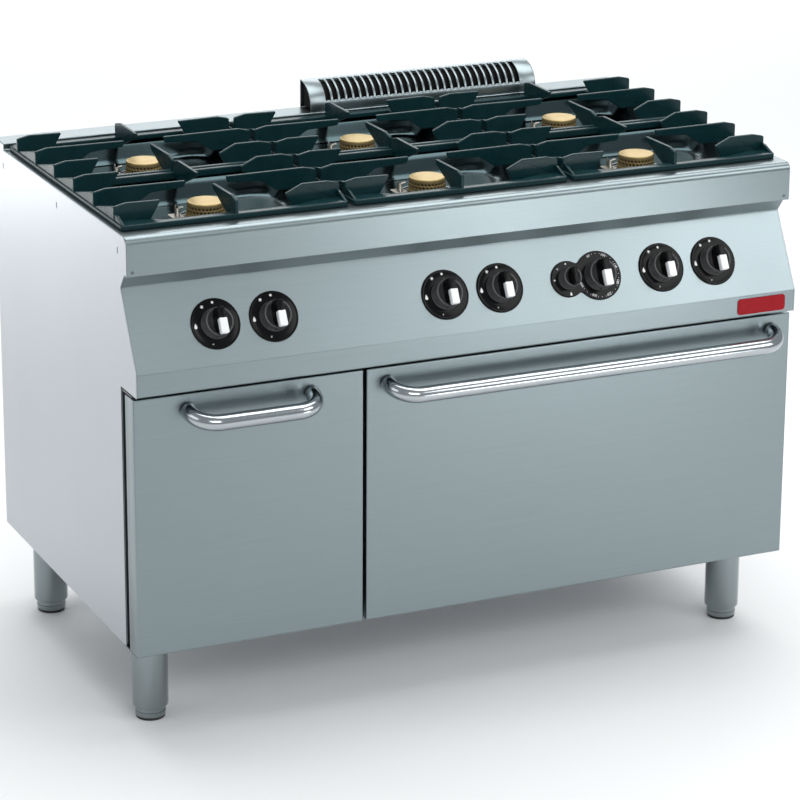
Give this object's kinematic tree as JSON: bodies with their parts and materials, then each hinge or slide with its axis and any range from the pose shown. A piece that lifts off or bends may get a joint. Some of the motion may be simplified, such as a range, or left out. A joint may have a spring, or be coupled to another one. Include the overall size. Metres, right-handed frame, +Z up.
{
  "type": "commercial gas range",
  "caption": "Free-standing commercial gas range: open burners under cast pan supports, a drop-front gas oven and a side cabinet on adjustable legs.",
  "frame": {"origin": "on the floor, under the middle of the object's box", "axes": "+X to the right seen from the front, -Y out of the front, +Z up"},
  "size_m": [1.2, 0.7458, 0.912],
  "materials": {
    "brushed_steel": "satin brushed stainless steel",
    "polished_steel": "polished stainless steel tube",
    "brass_fittings": "cast brass, matt",
    "burner_iron": "cast iron, satin",
    "support_enamel": "dark green-black gloss enamel on cast iron",
    "oven_enamel": "black vitreous enamel",
    "black_plastic": "glossy black phenolic",
    "dark_steel": "dark mill-finish steel",
    "gasket_rubber": "matt silicone seal",
    "rack_wire": "chromed wire"
  },
  "bodies": {
    "cabinet": {"side_panel_left": "brushed_steel", "side_panel_right": "brushed_steel", "back_panel": "brushed_steel", "base_panel": "brushed_steel", "centre_partition": "brushed_steel", "worktop": "brushed_steel", "control_panel": "brushed_steel", "flue_duct": "brushed_steel", "gas_manifold": "brass_fittings", "oven_chamber": "oven_enamel", "oven_burner": "dark_steel", "oven_dial_plate": "black_plastic", "oven_door_gasket": "gasket_rubber", "oven_door_hinge": "dark_steel", "cabinet_door_hinge": "dark_steel", "knob_bezel_left_front": "black_plastic", "knob_bezel_left_rear": "black_plastic", "knob_bezel_middle_front": "black_plastic", "knob_bezel_middle_rear": "black_plastic", "knob_bezel_right_front": "black_plastic", "knob_bezel_right_rear": "black_plastic", "burner_body_left_front": "burner_iron", "burner_body_left_rear": "burner_iron", "burner_body_middle_front": "burner_iron", "burner_body_middle_rear": "burner_iron", "burner_body_right_front": "burner_iron", "burner_body_right_rear": "burner_iron", "leg_tube_front_left": "brushed_steel", "leg_tube_front_right": "brushed_steel", "leg_tube_rear_left": "brushed_steel", "leg_tube_rear_right": "brushed_steel"},
    "oven_door": {"oven_door_panel": "brushed_steel", "oven_door_liner": "oven_enamel", "oven_door_handle": "polished_steel"},
    "cabinet_door": {"cabinet_door_panel": "brushed_steel", "cabinet_door_handle": "polished_steel"},
    "burner_knob_left_front": {"burner_knob_left_front": "black_plastic"},
    "burner_knob_left_rear": {"burner_knob_left_rear": "black_plastic"},
    "burner_knob_middle_front": {"burner_knob_middle_front": "black_plastic"},
    "burner_knob_middle_rear": {"burner_knob_middle_rear": "black_plastic"},
    "burner_knob_right_front": {"burner_knob_right_front": "black_plastic"},
    "burner_knob_right_rear": {"burner_knob_right_rear": "black_plastic"},
    "oven_valve_knob": {"oven_valve_knob": "black_plastic"},
    "oven_thermostat_knob": {"oven_thermostat_knob": "black_plastic"},
    "burner_cap_left_front": {"burner_cap_left_front": "brass_fittings"},
    "burner_cap_left_rear": {"burner_cap_left_rear": "brass_fittings"},
    "burner_cap_middle_front": {"burner_cap_middle_front": "brass_fittings"},
    "burner_cap_middle_rear": {"burner_cap_middle_rear": "brass_fittings"},
    "burner_cap_right_front": {"burner_cap_right_front": "brass_fittings"},
    "burner_cap_right_rear": {"burner_cap_right_rear": "brass_fittings"},
    "pan_support_left": {"pan_support_left": "support_enamel"},
    "pan_support_middle": {"pan_support_middle": "support_enamel"},
    "pan_support_right": {"pan_support_right": "support_enamel"},
    "flue_grille": {"flue_grille": "brushed_steel"},
    "oven_floor_plate": {"oven_floor_plate": "oven_enamel"},
    "oven_rack": {"oven_rack": "rack_wire"},
    "adjusting_foot_front_left": {"adjusting_foot_front_left": "dark_steel"},
    "adjusting_foot_front_right": {"adjusting_foot_front_right": "dark_steel"},
    "adjusting_foot_rear_left": {"adjusting_foot_rear_left": "dark_steel"},
    "adjusting_foot_rear_right": {"adjusting_foot_rear_right": "dark_steel"}
  },
  "joints": [
    {"name": "oven_door_hinge_turn", "type": "hinge", "parent": "cabinet", "child": "oven_door", "pos_m": [0.2015, -0.293, 0.17], "axis": [1, 0, 0], "range_deg": [0, 90], "stiffness_Nm_per_rad": 12, "springref_deg": -17.19},
    {"name": "cabinet_door_hinge_turn", "type": "hinge", "parent": "cabinet", "child": "cabinet_door", "pos_m": [-0.58, -0.293, 0.35], "axis": [0, 0, -1], "range_deg": [0, 105]},
    {"name": "burner_knob_left_front_turn", "type": "hinge", "parent": "cabinet", "child": "burner_knob_left_front", "pos_m": [-0.453, -0.3092, 0.70031], "axis": [0, -0.8858, 0.464], "range_deg": [0, 180]},
    {"name": "burner_knob_left_rear_turn", "type": "hinge", "parent": "cabinet", "child": "burner_knob_left_rear", "pos_m": [-0.353, -0.3092, 0.70031], "axis": [0, -0.8858, 0.464], "range_deg": [0, 180]},
    {"name": "burner_knob_middle_front_turn", "type": "hinge", "parent": "cabinet", "child": "burner_knob_middle_front", "pos_m": [-0.05, -0.3092, 0.70031], "axis": [0, -0.8858, 0.464], "range_deg": [0, 180]},
    {"name": "burner_knob_middle_rear_turn", "type": "hinge", "parent": "cabinet", "child": "burner_knob_middle_rear", "pos_m": [0.05, -0.3092, 0.70031], "axis": [0, -0.8858, 0.464], "range_deg": [0, 180]},
    {"name": "burner_knob_right_front_turn", "type": "hinge", "parent": "cabinet", "child": "burner_knob_right_front", "pos_m": [0.353, -0.3092, 0.70031], "axis": [0, -0.8858, 0.464], "range_deg": [0, 180]},
    {"name": "burner_knob_right_rear_turn", "type": "hinge", "parent": "cabinet", "child": "burner_knob_right_rear", "pos_m": [0.453, -0.3092, 0.70031], "axis": [0, -0.8858, 0.464], "range_deg": [0, 180]},
    {"name": "oven_valve_knob_turn", "type": "hinge", "parent": "cabinet", "child": "oven_valve_knob", "pos_m": [0.176, -0.3092, 0.70031], "axis": [0, -0.8858, 0.464], "range_deg": [0, 180]},
    {"name": "oven_thermostat_knob_turn", "type": "hinge", "parent": "cabinet", "child": "oven_thermostat_knob", "pos_m": [0.233, -0.3092, 0.70031], "axis": [0, -0.8858, 0.464], "range_deg": [0, 270]},
    {"name": "burner_cap_left_front_lift", "type": "slide", "parent": "cabinet", "child": "burner_cap_left_front", "axis": [0, 0, 1], "range_m": [0, 0.06]},
    {"name": "burner_cap_left_rear_lift", "type": "slide", "parent": "cabinet", "child": "burner_cap_left_rear", "axis": [0, 0, 1], "range_m": [0, 0.06]},
    {"name": "burner_cap_middle_front_lift", "type": "slide", "parent": "cabinet", "child": "burner_cap_middle_front", "axis": [0, 0, 1], "range_m": [0, 0.06]},
    {"name": "burner_cap_middle_rear_lift", "type": "slide", "parent": "cabinet", "child": "burner_cap_middle_rear", "axis": [0, 0, 1], "range_m": [0, 0.06]},
    {"name": "burner_cap_right_front_lift", "type": "slide", "parent": "cabinet", "child": "burner_cap_right_front", "axis": [0, 0, 1], "range_m": [0, 0.06]},
    {"name": "burner_cap_right_rear_lift", "type": "slide", "parent": "cabinet", "child": "burner_cap_right_rear", "axis": [0, 0, 1], "range_m": [0, 0.06]},
    {"name": "pan_support_left_lift", "type": "slide", "parent": "cabinet", "child": "pan_support_left", "axis": [0, 0, 1], "range_m": [0, 0.1]},
    {"name": "pan_support_middle_lift", "type": "slide", "parent": "cabinet", "child": "pan_support_middle", "axis": [0, 0, 1], "range_m": [0, 0.1]},
    {"name": "pan_support_right_lift", "type": "slide", "parent": "cabinet", "child": "pan_support_right", "axis": [0, 0, 1], "range_m": [0, 0.1]},
    {"name": "flue_grille_lift", "type": "slide", "parent": "cabinet", "child": "flue_grille", "axis": [0, 0, 1], "range_m": [0, 0.08]},
    {"name": "oven_floor_plate_lift", "type": "slide", "parent": "cabinet", "child": "oven_floor_plate", "axis": [0, 0, 1], "range_m": [0, 0.05]},
    {"name": "oven_rack_slide", "type": "slide", "parent": "cabinet", "child": "oven_rack", "axis": [0, -1, 0], "range_m": [0, 0.3]},
    {"name": "adjusting_foot_front_left_screw", "type": "slide", "parent": "cabinet", "child": "adjusting_foot_front_left", "axis": [0, 0, -1], "range_m": [0, 0.04]},
    {"name": "adjusting_foot_front_right_screw", "type": "slide", "parent": "cabinet", "child": "adjusting_foot_front_right", "axis": [0, 0, -1], "range_m": [0, 0.04]},
    {"name": "adjusting_foot_rear_left_screw", "type": "slide", "parent": "cabinet", "child": "adjusting_foot_rear_left", "axis": [0, 0, -1], "range_m": [0, 0.04]},
    {"name": "adjusting_foot_rear_right_screw", "type": "slide", "parent": "cabinet", "child": "adjusting_foot_rear_right", "axis": [0, 0, -1], "range_m": [0, 0.04]}
  ],
  "couplings": [
    {"joint": "oven_rack_slide", "follows": "oven_door_hinge_turn", "m_per_rad": 0.19}
  ]
}
